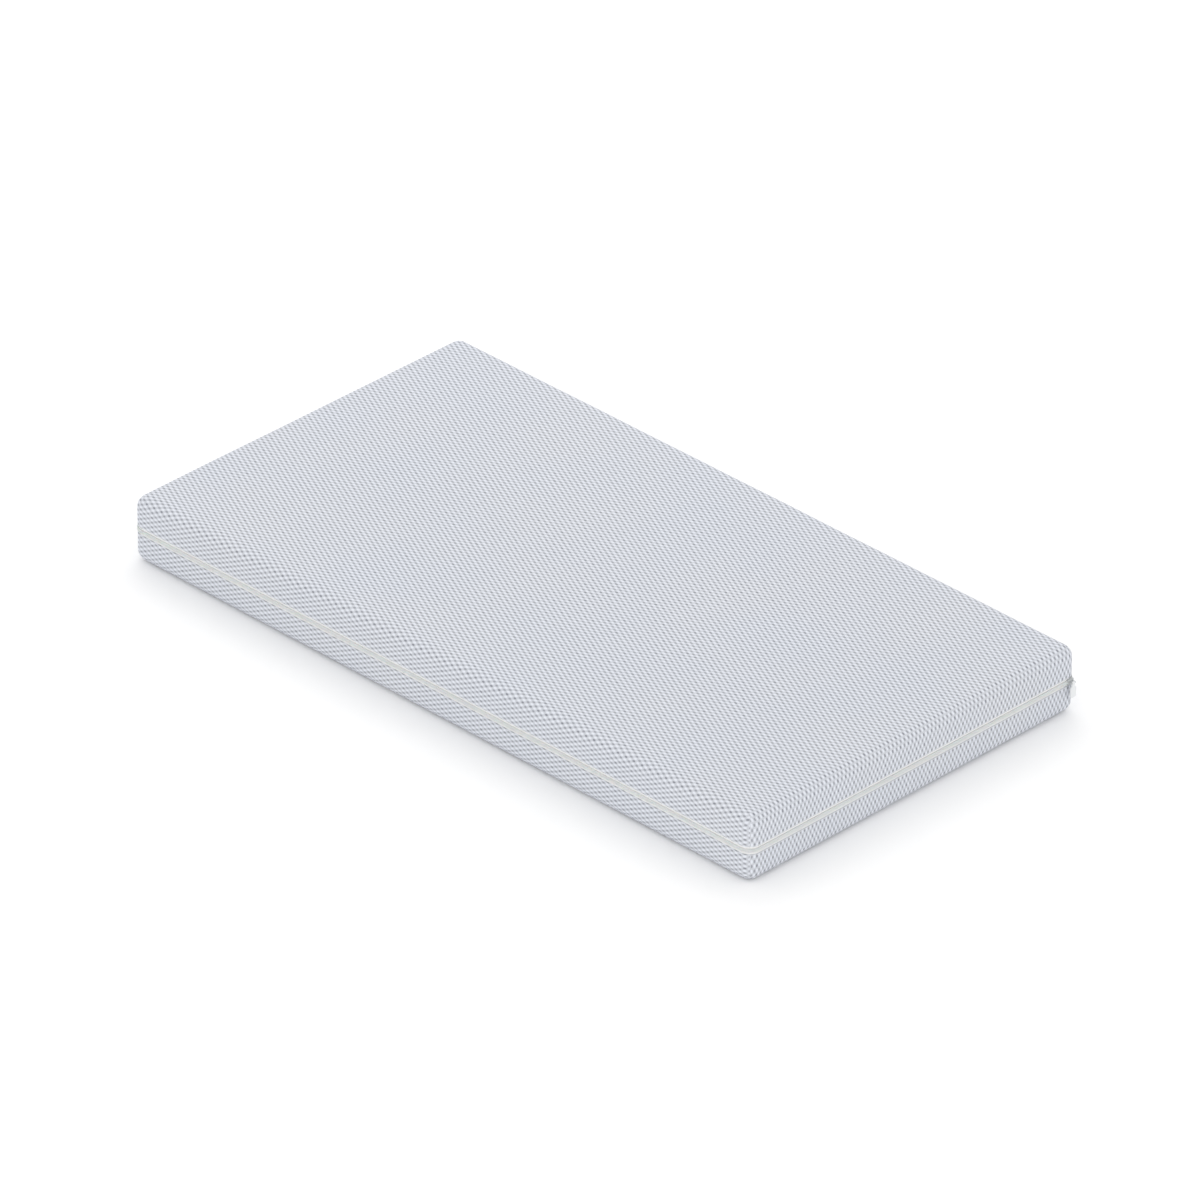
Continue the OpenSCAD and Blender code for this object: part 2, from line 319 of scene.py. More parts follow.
class Block:
    """Half a rounded block: a flat panel, its rounded edge and the wall below it, or that upside down.
    lift(u, v, t, base_x, base_y, out_x, out_y) is how far its face stands out there."""

    def __init__(self, edge, centre_z, upper=True, lift=None):
        self.edge = edge
        self.centre_z = centre_z
        self.upper = upper
        self.lift = lift

    def place(self, at, a, b, inset=0.0):
        """Points and cloth coordinates of a patch at its parameters a and b, that far in from the face."""
        base_x, base_y, out_x, out_y, t, u, v = at(a, b)
        if not self.upper:
            v = 2 * (FLAT_Y + MIDDLE_T) - v
        angle = turn(t)
        radius = self.edge - inset
        if self.lift:
            radius = radius + self.lift(u, v, t, base_x, base_y, out_x, out_y)
        x = base_x + out_x * radius * np.sin(angle)
        y = base_y + out_y * radius * np.sin(angle)
        z = self.centre_z + radius * np.cos(angle) - np.maximum(t - QUARTER, 0)
        if not self.upper:
            z = HEIGHT - z
        return np.stack([x, y, z], axis=-1), np.stack([u, v], axis=-1)

    def patch(self, work, at, a_lines, b_lines, crossed=False):
        """Adds a patch of the face with points on those lines, which are cloth lengths or angles."""
        a, b = np.meshgrid(a_lines, b_lines)
        points, cloth = self.place(at, a, b)
        points, cloth = points.reshape(-1, 3), cloth.reshape(-1, 2)
        if crossed:
            middle_a, middle_b = np.meshgrid(middles(a_lines), middles(b_lines))
            more, more_cloth = self.place(at, middle_a, middle_b)
            points = np.concatenate([points, more.reshape(-1, 3)])
            cloth = np.concatenate([cloth, more_cloth.reshape(-1, 2)])
        work.add(points, cloth, grid_faces(len(b_lines), len(a_lines), crossed))

    def shell(self, work, x_lines, y_lines, rows, back_rows=None, crossed=False):
        """The whole half block. back_rows are for the back wall, as far as the rear corners' mitres."""
        self.patch(work, panel, x_lines, y_lines, crossed)
        for at, lines, straight, back in wall_patches(x_lines, y_lines):
            down = back_rows if back and back_rows is not None else rows
            self.patch(work, at, lines, down, crossed and straight)

    def cap(self, work, x_lines, y_lines, depth):
        """A flat face across the foot of a wall of that depth of cloth."""
        foot = self.centre_z - (depth - QUARTER)
        for at, lines, _, _ in wall_patches(x_lines, y_lines):
            a, t = np.meshgrid(lines, [depth, depth])
            points, cloth = self.place(at, a, t, inset=np.array([[0.0], [self.edge]]))
            work.add(points, cloth, grid_faces(2, len(lines)))
        x, y = np.meshgrid(x_lines, y_lines)
        level = np.full_like(x, foot if self.upper else HEIGHT - foot)
        work.add(np.stack([x, y, level], axis=-1), np.stack([x, y], axis=-1), grid_faces(*x.shape))


def middles(lines):
    return (lines[:-1] + lines[1:]) / 2


def lines_across(half, steps):
    return np.linspace(-half, half, steps + 1)


def rows_down(depth, wall_steps=3):
    """Rows from the flat panel over the edge and down the wall to that depth of cloth."""
    over = np.linspace(0, QUARTER, EDGE_STEPS + 1)
    return np.concatenate([over, np.linspace(QUARTER, depth, wall_steps + 1)[1:]])


# ---- the zip's line


def belt(s):
    """The zip's line at arc lengths s from the slider's end: centre of curvature and outward direction.
    It goes on into the rear corners before 0 and past BELT_LENGTH."""
    ends = np.cumsum([0, 2 * FLAT_Y, QUARTER, 2 * FLAT_X, QUARTER])
    turned = np.clip(s - ends[1], 0, QUARTER) + np.clip(s - ends[3], 0, QUARTER)
    turned += np.minimum(s, 0) + np.maximum(s - BELT_LENGTH, 0)
    angle = -turned / EDGE
    x = FLAT_X - np.clip(s - ends[2], 0, 2 * FLAT_X)
    y = FLAT_Y - np.clip(s, 0, 2 * FLAT_Y) + np.clip(s - ends[4], 0, 2 * FLAT_Y)
    return np.stack([x, y], axis=-1), np.stack([np.cos(angle), np.sin(angle)], axis=-1)


def on_belt(s, inset, z):
    """Points at arc lengths s along the zip's line, that far in from the wall's face, at height z."""
    base, out = belt(s)
    flat = base + out * (EDGE - np.asarray(inset))[..., None]
    return np.concatenate([flat, (z + np.zeros_like(s))[..., None]], axis=-1)


def tubes(work, centres, radius, sides, reference):
    """Closed round tubes along centres (count, rings, 3). Each section's first point lies towards
    reference, which has the same shape."""
    count, rings = centres.shape[:2]
    along = np.gradient(centres, axis=1)
    along /= np.linalg.norm(along, axis=-1, keepdims=True)
    first = reference - along * np.sum(reference * along, axis=-1, keepdims=True)
    first /= np.linalg.norm(first, axis=-1, keepdims=True)
    second = np.cross(along, first)
    angles = np.arange(sides) * 2 * math.pi / sides
    around = first[:, :, None] * np.cos(angles)[:, None] + second[:, :, None] * np.sin(angles)[:, None]
    points = centres[:, :, None] + around * radius
    length = np.linalg.norm(np.diff(centres, axis=1), axis=-1)
    reached = np.concatenate([np.zeros((count, 1)), np.cumsum(length, axis=1)], axis=1)
    girth = np.broadcast_to(angles * radius, (count, rings, sides))
    cloth = np.stack([np.broadcast_to(reached[..., None], girth.shape), girth], axis=-1)
    starts = np.arange(count)[:, None, None] * rings * sides
    walls = (starts + grid_faces(rings, sides, wrap=True)[None]).reshape(-1, 4)
    first_ring = starts[:, 0] + np.arange(sides)
    caps = np.concatenate([first_ring[:, ::-1], first_ring + (rings - 1) * sides])
    work.add(points, cloth, walls, caps)


# ---- materials


def shade(red, green, blue):
    """A display colour from 0 to 255 as linear light."""
    channels = np.array([red, green, blue]) / 255
    linear = np.where(channels <= 0.04045, channels / 12.92, ((channels + 0.055) / 1.055) ** 2.4)
    return (*linear, 1.0)


class Surface:
    """A procedural material round one Principled shader. Its values are numbers or outputs of nodes."""

    def __init__(self, name, settings):
        self.material = bpy.data.materials.new(name)
        self.material.use_nodes = True
        self.tree = self.material.node_tree
        self.shader = self.tree.nodes["Principled BSDF"]
        self.normal = None
        for socket, value in settings.items():
            self.shader.inputs[socket].default_value = value

    def node(self, kind, inputs=None, **options):
        made = self.tree.nodes.new("ShaderNode" + kind)
        for option, value in options.items():
            setattr(made, option, value)
        for key, value in (inputs or {}).items():
            self.put(made.inputs[key], value)
        return made

    def put(self, socket, value):
        if isinstance(value, bpy.types.NodeSocket):
            self.tree.links.new(value, socket)
        else:
            socket.default_value = value

    def math(self, operation, *values):
        return self.node("Math", dict(enumerate(values)), operation=operation).outputs[0]

    def scaled(self, value, factor, offset):
        """value times factor, plus offset."""
        return self.math("MULTIPLY_ADD", value, factor, offset)

    def times(self, first, second):
        return self.math("MULTIPLY", first, second)

    def plus(self, first, second):
        return self.math("ADD", first, second)

    def step(self, value, start, end):
        """0 before start and 1 after end, with a smooth rise between."""
        inputs = {"Value": value, "From Min": start, "From Max": end}
        return self.node("MapRange", inputs, interpolation_type="SMOOTHSTEP").outputs[0]

    def mix(self, share, first, second):
        """A colour between first and second."""
        return self.node("Mix", {0: share, 6: first, 7: second}, data_type="RGBA").outputs[2]

    def cloth(self, start=(0.0, 0.0)):
        """The two cloth coordinates in metres, counted from start."""
        plain = self.node("UVMap", uv_map="cloth").outputs[0]
        moved = self.node("VectorMath", {0: plain, 1: (*start, 0.0)}, operation="SUBTRACT")
        parts = self.node("SeparateXYZ", {0: moved.outputs[0]})
        return parts.outputs[0], parts.outputs[1]

    def place(self):
        """The place in the object, in metres."""
        return self.node("TexCoord").outputs["Object"]

    def noise(self, size, detail=2.0, where=None, roughness=0.5):
        """Smooth noise from 0 to 1 with features of about that size."""
        inputs = {"Scale": 1 / size, "Detail": detail, "Roughness": roughness}
        return self.node("TexNoise", {"Vector": where or self.place(), **inputs}).outputs["Fac"]

    def wave(self, coordinate, length):
        """A cosine of that wavelength along a coordinate."""
        return self.math("COSINE", self.times(coordinate, 2 * math.pi / length))

    def colour(self, value):
        self.put(self.shader.inputs["Base Color"], value)

    def rough(self, value):
        self.put(self.shader.inputs["Roughness"], value)

    def bump(self, height, distance):
        """Raises the surface by height times distance, over what was there before."""
        inputs = {"Height": height, "Distance": distance}
        if self.normal:
            inputs["Normal"] = self.normal
        self.normal = self.node("Bump", inputs).outputs[0]
        self.put(self.shader.inputs["Normal"], self.normal)


def knit_loops(surface, u, v, wale, course):
    """Height of plain knit: columns of slanted loops, one column every wale and one loop every course."""
    column = surface.math("PINGPONG", surface.math("DIVIDE", u, wale), 0.5)
    slant = surface.scaled(column, 0.9, surface.math("DIVIDE", v, course))
    loop = surface.math("SINE", surface.times(slant, 2 * math.pi))
    furrow = surface.step(column, 0.0, 0.22)
    return surface.times(furrow, surface.scaled(loop, 0.35, 0.65))


def cover_cloth():
    """Double knit with raised lozenges, sunk dots, thin slanting links between dots and a visible yarn,
    with painted shade in the dots and furrows.
    """
    sheen = {"Sheen Weight": 0.12, "Sheen Roughness": 0.45}
    cloth = Surface("knitted_cover", {"Roughness": 0.86, "Specular IOR Level": 0.25, **sheen})
    u, v = cloth.cloth(start=(-FLAT_X, -FLAT_Y))
    across, down = cloth.wave(u, 2 * CELL_U), cloth.wave(v, 2 * CELL_V)
    lozenge = cloth.times(across, down)
    wobble = cloth.scaled(cloth.noise(3 * MM, 4, roughness=0.65), 0.8, -0.4)
    uneven = cloth.plus(lozenge, wobble)
    dot = cloth.step(uneven, -0.34, -0.70)
    puff = cloth.step(uneven, 0.12, 0.72)
    every_fourth = cloth.step(cloth.wave(v, 4 * CELL_V), 0.2, 0.9)
    odd_column = cloth.step(across, -0.2, -0.9)
    darker = cloth.times(every_fourth, odd_column)
    diagonal = cloth.plus(cloth.math("DIVIDE", u, CELL_U), cloth.math("DIVIDE", v, CELL_V))
    link = cloth.step(cloth.wave(diagonal, 2.0), -0.80, -0.99)
    yarn = knit_loops(cloth, u, v, WALE, COURSE)

    ground = cloth.mix(cloth.noise(0.16, 3), shade(208, 209, 213), shade(201, 206, 216))
    light = cloth.mix(puff, ground, shade(231, 234, 242))
    linked = cloth.mix(cloth.times(link, 0.2), light, shade(186, 189, 196))
    # Painted shade: the dots' dark blue yarn is darkened further, as shade in their sunk hollows.
    dot_dye_and_shade = cloth.times(dot, cloth.scaled(darker, 0.25, 0.75))
    dotted = cloth.mix(dot_dye_and_shade, linked, shade(138, 141, 149))
    # Painted shade: the cloth is darker in the furrows between the knit's loops.
    yarn_furrow_shade = cloth.scaled(yarn, -0.16, 0.10)
    cloth.colour(cloth.mix(yarn_furrow_shade, dotted, shade(150, 154, 162)))
    cloth.rough(cloth.scaled(puff, -0.06, 0.90))
    cloth.bump(cloth.math("SUBTRACT", puff, dot), 0.10 * MM)
    cloth.bump(yarn, 0.10 * MM)
    return cloth.material


def zip_tape_weave():
    """Smooth woven tape with fine slanting ribs."""
    tape = Surface("zip_tape", {"Roughness": 0.75, "Sheen Weight": 0.1, "Specular IOR Level": 0.3})
    u, v = tape.cloth()
    twill = tape.plus(tape.math("DIVIDE", u, 0.7 * MM), tape.math("DIVIDE", v, 0.5 * MM))
    ridge = tape.wave(twill, 1.0)
    pick = tape.wave(v, 0.5 * MM)
    weave = tape.scaled(pick, 0.4, ridge)
    share = tape.scaled(ridge, 0.06, tape.times(tape.noise(3 * MM), 0.3))
    tape.colour(tape.mix(share, shade(255, 255, 254), shade(244, 245, 243)))
    tape.bump(weave, 0.04 * MM)
    return tape.material


def coil_nylon():
    """Slightly milky nylon monofilament."""
    milky = {"Subsurface Weight": 0.15, "Subsurface Scale": 0.5 * MM}
    nylon = Surface("coil_nylon", {"Roughness": 0.38, **milky})
    tint = nylon.noise(2 * MM)
    nylon.colour(nylon.mix(tint, shade(235, 239, 238), shade(246, 248, 247)))
    nylon.rough(nylon.scaled(nylon.noise(0.4 * MM), 0.16, 0.30))
    nylon.bump(nylon.noise(0.3 * MM), 0.01 * MM)
    return nylon.material


def sewing_thread():
    """Twisted polyester thread, with painted shade in the grooves of its twist."""
    thread = Surface("sewing_thread", {"Roughness": 0.55, "Sheen Weight": 0.2, "Specular IOR Level": 0.4})
    u, v = thread.cloth()
    ply = thread.wave(thread.plus(u, thread.times(v, 0.8)), 0.55 * MM)
    # Painted shade: the thread is darker in the grooves of its twist.
    tint = thread.scaled(ply, 0.25, 0.5)
    thread.colour(thread.mix(tint, shade(238, 240, 241), shade(253, 254, 253)))
    thread.bump(ply, 0.04 * MM)
    return thread.material


def painted_metal(name, light, dark):
    """Die-cast zinc under a satin paint, a little worn in places."""
    paint = Surface(name, {"Roughness": 0.32, "Coat Weight": 0.25, "Coat Roughness": 0.2})
    scuff = paint.step(paint.noise(1.2 * MM, 5, roughness=0.7), 0.64, 0.82)
    paint.colour(paint.mix(scuff, light, dark))
    paint.rough(paint.scaled(scuff, 0.25, 0.30))
    paint.bump(paint.noise(0.5 * MM, 2), 0.015 * MM)
    return paint.material


def spring_steel():
    """Brushed strip steel."""
    steel = Surface("spring_steel", {"Metallic": 1.0, "Roughness": 0.3})
    stretched = steel.node("Mapping", {"Vector": steel.place(), "Scale": (9.0, 1.0, 9.0)}).outputs[0]
    grain = steel.noise(1.0 * MM, 4, where=stretched)
    steel.colour(steel.mix(grain, shade(176, 178, 182), shade(214, 216, 220)))
    steel.rough(steel.scaled(grain, 0.25, 0.22))
    steel.bump(grain, 0.01 * MM)
    return steel.material


def sock_knit():
    """Thin stretch knit with a rib every six wales, and painted shade along the ribs and between the
    loops.
    """
    knit = Surface("sock_knit", {"Roughness": 0.9, "Sheen Weight": 0.15, "Specular IOR Level": 0.2})
    u, v = knit.cloth()
    loops = knit_loops(knit, u, v, 1.6 * MM, 1.3 * MM)
    rib = knit.step(knit.wave(u, 9.6 * MM), 0.55, 0.85)
    # Painted shade: darker along each sunk rib and in the furrows between the loops, over a random cloudy
    # tone.
    cloud_and_rib_shade = knit.scaled(knit.noise(0.05, 3), 0.6, knit.times(rib, 0.35))
    tint = knit.scaled(loops, -0.4, cloud_and_rib_shade)
    knit.colour(knit.mix(tint, shade(236, 236, 232), shade(204, 205, 203)))
    knit.bump(knit.math("SUBTRACT", loops, rib), 0.2 * MM)
    return knit.material


def open_cell_foam(name, light, dark, cell):
    """Cut foam: small open cells with thin struts between, a cloudy tone, and painted shade in the pores.
    """
    foam = Surface(name, {"Roughness": 0.95, "Specular IOR Level": 0.15, "Subsurface Weight": 0.1})
    cells = foam.node("TexVoronoi", {"Vector": foam.place(), "Scale": 1 / cell}, feature="F1")
    pores = foam.step(cells.outputs["Distance"], 0.15, 0.75)
    # Painted shade: darker in the sunk pores, over a random cloudy tone.
    cloud_and_pore_shade = foam.scaled(foam.noise(0.03, 3), 0.3, foam.times(pores, 0.6))
    foam.colour(foam.mix(cloud_and_pore_shade, light, dark))
    foam.bump(foam.math("SUBTRACT", 1.0, pores), 0.25 * MM)
    return foam.material


def glue_film():
    """Thin rubbery adhesive, unevenly rolled."""
    glue = Surface("adhesive_film", {"Roughness": 0.4})
    spread = glue.noise(6 * MM, 4)
    glue.colour(glue.mix(spread, shade(222, 218, 196), shade(238, 235, 220)))
    glue.rough(glue.scaled(spread, 0.3, 0.25))
    glue.bump(spread, 0.1 * MM)
    return glue.material


def label_satin():
    """Blank satin ribbon."""
    satin = Surface("label_satin", {"Roughness": 0.45, "Sheen Weight": 0.2})
    u, v = satin.cloth()
    floats = satin.scaled(satin.wave(v, 0.25 * MM), 0.5, satin.wave(u, 1.2 * MM))
    tint = satin.scaled(floats, 0.1, 0.3)
    satin.colour(satin.mix(tint, shade(246, 246, 245), shade(226, 227, 228)))
    satin.bump(floats, 0.02 * MM)
    return satin.material


def overlocked_cloth():
    """Raw cloth edge inside a seam, with painted shade between the knit's loops."""
    edge = Surface("seam_allowance", {"Roughness": 0.9, "Sheen Weight": 0.15, "Specular IOR Level": 0.2})
    u, v = edge.cloth()
    loops = knit_loops(edge, u, v, WALE, COURSE)
    # Painted shade: darker in the furrows between the knit's loops, over a random tone.
    tint = edge.scaled(loops, -0.4, edge.times(edge.noise(4 * MM, 3), 0.9))
    edge.colour(edge.mix(tint, shade(232, 234, 236), shade(206, 209, 214)))
    edge.bump(loops, 0.1 * MM)
    return edge.material


# ---- the cover


def smooth_step(value):
    held = np.clip(value, 0, 1)
    return held * held * (3 - 2 * held)


def softness(x, y):
    """The small unevenness of cloth over foam: a faint crown, and long low ripples."""
    dome = (1 - (x / (FLAT_X + EDGE)) ** 4) * (1 - (y / (FLAT_Y + EDGE)) ** 4)
    ripple = np.sin(x * 17.3 + 1.1) * np.sin(y * 23.9 + 0.4) + np.sin(x * 31.0 - y * 19.0)
    return CROWN * np.clip(dome, 0, 1) + RIPPLE * ripple


def cover_lift(upper):
    """How far a cover half's outer face stands off its nominal face."""

    def lift(u, v, t, base_x, base_y, out_x, out_y):
        weave = pattern(u, v)
        relief = np.where(weave > 0, PUFF_RISE, DOT_DEPTH) * weave
        from_mitre = EDGE * np.abs(np.arctan2(np.abs(out_y), np.abs(out_x)) - MITRE)
        held = (t > 0) * (1 - smooth_step((from_mitre - HEM_RADIUS) / MITRE_SINK_REACH))
        dart = MITRE_SINK * held * np.sin(turn(t)) ** 2
        behind = (out_y > 0) & (np.abs(out_x) <= out_y + 1e-6)
        near_stitches = np.exp(-(((t - STITCH_T) / STITCH_SINK_REACH) ** 2))
        sink = STITCH_SINK * np.where(behind, 0, near_stitches)
        soft = 0.0
        if upper:
            reach = EDGE * np.sin(turn(t))
            fading = 1 - smooth_step(t / UPPER_CUT_T)
            soft = softness(base_x + out_x * reach, base_y + out_y * reach) * fading
        return relief * (1 - held) - PUFF_RISE + soft - sink - dart

    return lift


def cover_half(name, node, upper, cut, body, material):
    """One half of the cover as a closed cloth shell: face, lining side, turned hems round the zip and
    the cut along the back."""
    outer = Block(EDGE, HEIGHT - EDGE, upper, cover_lift(upper))
    inner = Block(EDGE - SHELL, HEIGHT - EDGE, upper)
    hem = HEM_T - HEM_RADIUS
    rows = np.concatenate([np.arange(0, STITCH_T - CELL_V / 3, CELL_V), [STITCH_T, hem]])
    below = np.append(np.arange(math.ceil(hem / CELL_V) * CELL_V, cut - CELL_V / 3, CELL_V), cut)
    back_rows = np.append(rows, below)
    x_lines = lines_across(FLAT_X, CELLS_X)
    y_lines = lines_across(FLAT_Y, CELLS_Y)
    inner_rows = rows_down(hem)
    work = Patchwork()
    outer.shell(work, x_lines, y_lines, rows, back_rows, crossed=True)
    inner.shell(work, x_lines, y_lines, inner_rows, np.append(inner_rows, below))
    add_hems(work, outer, inner, x_lines, y_lines, hem, np.insert(below, 0, hem))
    mesh = work.mesh(name, weld=2e-6, sharp=50)
    return piece(name, mesh, body, material, "cloth", [node])


def add_hems(work, outer, inner, x_lines, y_lines, hem, end_rows):
    """Rounded hems along the slot and up its rear ends, and the flat cut along the back. end_rows go from
    the hem to the cut."""
    angles = np.linspace(0, MITRE, MITRE_STEPS + 1)
    around = np.linspace(0, math.pi, RIM_STEPS + 1)
    bulge = HEM_RADIUS * np.sin(around)
    share = (1 - np.cos(around)) / 2

    def between(at, a, t):
        """A rim from the outer face to the inner one, for grids of a and t with a row for each angle."""
        near, cloth = outer.place(at, a, t)
        far, _ = inner.place(at, a, t)
        blend = share[:, None, None]
        work.add(near * (1 - blend) + far * blend, cloth, grid_faces(*a.shape))

    def spread(lines):
        return np.broadcast_to(lines, (len(around), len(lines))).copy()

    def along_hem(at, lines, limit=None):
        a = spread(lines)
        if limit is not None:
            a = np.minimum(a, (limit - bulge / EDGE)[:, None])
        between(at, a, np.broadcast_to((hem + bulge)[:, None], a.shape))

    along_hem(wall_along_x(-1), x_lines)
    for side in (-1, 1):
        along_hem(wall_along_y(side), y_lines)
        along_hem(corner_half(side, -1, True), angles)
        along_hem(corner_half(side, -1, False), angles)
        along_hem(corner_half(side, 1, False), angles, MITRE)
        rear = corner_half(side, 1, True)
        past_mitre = (MITRE + bulge / EDGE)[:, None]
        down = np.maximum(spread(end_rows), (hem + bulge)[:, None])
        between(rear, np.broadcast_to(past_mitre, down.shape), down)
        across = np.concatenate([spread(angles), past_mitre], axis=1)
        foot = np.full(across.shape, end_rows[-1])
        foot[:, -1] = down[:, -1]
        between(rear, across, foot)
    across = spread(x_lines)
    between(wall_along_x(1), across, np.full(across.shape, end_rows[-1]))


def cloth_area(depth, back_depth):
    """Flat area of a cover half whose walls take that much cloth."""
    flat = 4 * FLAT_X * FLAT_Y
    walls = 2 * FLAT_X * (depth + back_depth) + 4 * FLAT_Y * depth
    corners = 4 * (EDGE**2 * math.pi / 2 + QUARTER * (depth - QUARTER))
    return flat + walls + corners


def make_cover(cloth):
    for name, node, upper, cut, body in (
        ("knitted_cover_upper", "cover_top", True, UPPER_CUT_T, "fold"),
        ("knitted_cover_lower", "cover_bottom", False, LOWER_CUT_T, "mattress"),
    ):
        half = cover_half(name, node, upper, cut, body, cloth)
        cloth_area(HEM_T, cut)


# ---- the zip


def ring_of(near, far, front, back):
    """A flat strip's section with rounded edges, as a ring of distances across and insets."""
    radius = (back - front) / 2
    around = np.linspace(-math.pi / 2, math.pi / 2, STRIP_EDGE_POINTS)
    over = far - radius + radius * np.cos(around)
    under = near + radius - radius * np.cos(around)
    inset = (front + back) / 2 + radius * np.sin(around)
    return np.concatenate([over, under]), np.concatenate([inset, inset[::-1]])


def travelled(path):
    """The distance along a path (count, 3) at each of its points."""
    return np.cumsum(np.linalg.norm(np.diff(path, axis=0, prepend=path[:1]), axis=1))


def loft(work, rings):
    """A closed skin through rings (count, points, 3), with a face on each end."""
    count, size = rings.shape[:2]
    length, girth = travelled(rings.mean(axis=1)), travelled(rings[0])
    cloth = np.stack(np.broadcast_arrays(length[:, None], girth[None]), axis=-1)
    ends = np.stack([np.arange(size)[::-1], (count - 1) * size + np.arange(size)])
    work.add(rings, cloth, grid_faces(count, size, wrap=True), ends)


def strip_mesh(name, tail, section, sign):
    """A strip of that section along the zip's line, above its middle or below, with a tail at each end."""
    across, inset = section
    steps = round((BELT_LENGTH + 2 * tail) / TAPE_STEP)
    s = np.linspace(-tail, BELT_LENGTH + tail, steps + 1)
    grid_s, grid_across = np.meshgrid(s, across, indexing="ij")
    work = Patchwork()
    loft(work, on_belt(grid_s, np.broadcast_to(inset, grid_s.shape), MID_Z + sign * grid_across))
    return work.mesh(name, weld=1e-7, sharp=60)


def make_tapes(material):
    """The woven tapes, sewn behind the hems as far as the ends of the slot."""
    low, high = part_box("zip_tape_upper")
    near, far = low.z - MID_Z, high.z - MID_Z
    section = ring_of(near, far, TAPE_INSET, TAPE_INSET + TAPE_THICK)
    for half, sign in HALVES:
        name = f"zip_tape_{half}_web"
        mesh = strip_mesh(name, TAPE_TAIL, section, sign)
        tape = piece(name, mesh, BODY_OF[half], material, "zip_tape", [f"zip_tape_{half}"])


def make_coils(nylon, thread):
    """Each half of the chain is a coil of nylon round a filler cord, sewn down by two rows of thread.
    Its heads interlock with the other half's."""
    _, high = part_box("zip_coil_upper")
    tail_off = high.z - MID_Z - STRAND
    core_section = ring_of(CORE_NEAR, CORE_FAR, CORE_FRONT, CORE_BACK)
    for half, sign in HALVES:
        name = f"zip_coil_{half}"
        body = BODY_OF[half]
        strand = coil_strand(f"{name}_strand", tail_off, sign)
        piece(f"{name}_strand", strand, body, nylon, "zip_coil", [name])
        core = strip_mesh(f"{name}_core", COIL_TAIL, core_section, sign)
        piece(f"{name}_core", core, body, thread, "thread")
        sewing = coil_sewing(f"{name}_sewing", tail_off, sign)
        piece(f"{name}_sewing", sewing, body, thread, "thread")


def coil_strand(name, tail_off, sign):
    """The nylon of one coil, whose turns lie half a pitch further along on the lower half."""
    head_off = -COIL_OVERLAP
    centre, swing = (tail_off + head_off) / 2, (tail_off - head_off) / 2
    turns = int((BELT_LENGTH + 2 * COIL_TAIL) / COIL_PITCH)
    step = np.arange(turns * COIL_RINGS + 1) / COIL_RINGS
    shift = 0.0 if sign > 0 else 0.5
    s = (step + shift) * COIL_PITCH - COIL_TAIL
    angle = 2 * math.pi * step
    off = centre + swing * np.cos(angle)
    depth = COIL_DEPTH * np.clip(COIL_FLATNESS * np.sin(angle), -1, 1)
    path = on_belt(s, COIL_MIDDLE - depth, MID_Z + sign * off)
    work = Patchwork()
    tubes(work, path[None], STRAND, 5, belt_direction(s)[None])
    return work.mesh(name)


def coil_sewing(name, tail_off, sign):
    """Two rows of thread over a coil, which sink a little between its turns."""
    work = Patchwork()
    s = np.arange(-COIL_TAIL, BELT_LENGTH + COIL_TAIL, COIL_PITCH / 3)
    rise = SEWING_WAVE * np.cos(2 * math.pi * (s + COIL_TAIL) / COIL_PITCH)
    inset = COIL_MIDDLE - COIL_DEPTH - STRAND - SEWING_STAND
    for row in SEWING_ROWS:
        path = on_belt(s, inset - rise, MID_Z + sign * (tail_off - row))
        up = np.broadcast_to([0.0, 0.0, 1.0], path.shape)
        tubes(work, path[None], SEWING_RADIUS, 4, up[None])
    return work.mesh(name)


def belt_direction(s):
    """The way the zip runs at arc lengths s."""
    _, out = belt(s)
    return np.stack([out[..., 1], -out[..., 0], np.zeros_like(s)], axis=-1)


def outward(s):
    """The way the wall faces at arc lengths s along the zip."""
    _, out = belt(s)
    return np.concatenate([out, np.zeros_like(s)[..., None]], axis=-1)


def make_stitching(thread):
    """Lockstitches that hold each tape to its hem: short arches of thread that dive into the cloth."""
    count = int(BELT_LENGTH / STITCH_PITCH)
    fraction = np.array([0.04, 0.16, 0.5, 0.84, 0.96])
    dive = np.array([0.75, 0.32, 0.12, 0.32, 0.75]) * MM
    slant = np.array([-0.12, -0.08, 0, 0.08, 0.12]) * MM
    s = (np.arange(count)[:, None] + fraction) * (BELT_LENGTH / count)
    for half, sign in HALVES:
        name = f"tape_lockstitch_{half}"
        path = on_belt(s, np.broadcast_to(dive, s.shape), MID_Z + sign * (STITCH_OFF + slant))
        work = Patchwork()
        tubes(work, path, STITCH_RADIUS, 6, outward(s))
        piece(name, work.mesh(name), BODY_OF[half], thread, "thread", [f"tape_stitching_{half}"])


def make_bar_tacks(thread):
    """Dense bars of thread across the cloth where the slot ends, on the rear corners."""
    low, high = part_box("bar_tacks_upper")
    start, end = low.z - MID_Z, high.z - MID_Z
    heights = np.arange(start + TACK_PITCH / 2, end, TACK_PITCH)
    stand = np.array([-0.5, 0.1, 0.25, 0.25, 0.1, -0.5]) * MM
    angle = np.radians(np.linspace(*TACK_ANGLES, len(stand)))
    for half, sign in HALVES:
        name = f"bar_tacks_{half}_thread"
        work = Patchwork()
        for side in (-1, 1):
            out = np.stack([side * np.cos(angle), np.sin(angle), np.zeros_like(angle)], axis=-1)
            flat = out * (EDGE + stand)[:, None] + np.array([side * FLAT_X, FLAT_Y, 0.0])
            path = np.repeat(flat[None], len(heights), axis=0)
            path[..., 2] = (MID_Z + sign * heights)[:, None]
            tubes(work, path, TACK_PITCH / 2, 6, np.repeat(out[None], len(heights), axis=0))
        piece(name, work.mesh(name), "fold", thread, "thread", [f"bar_tacks_{half}"])


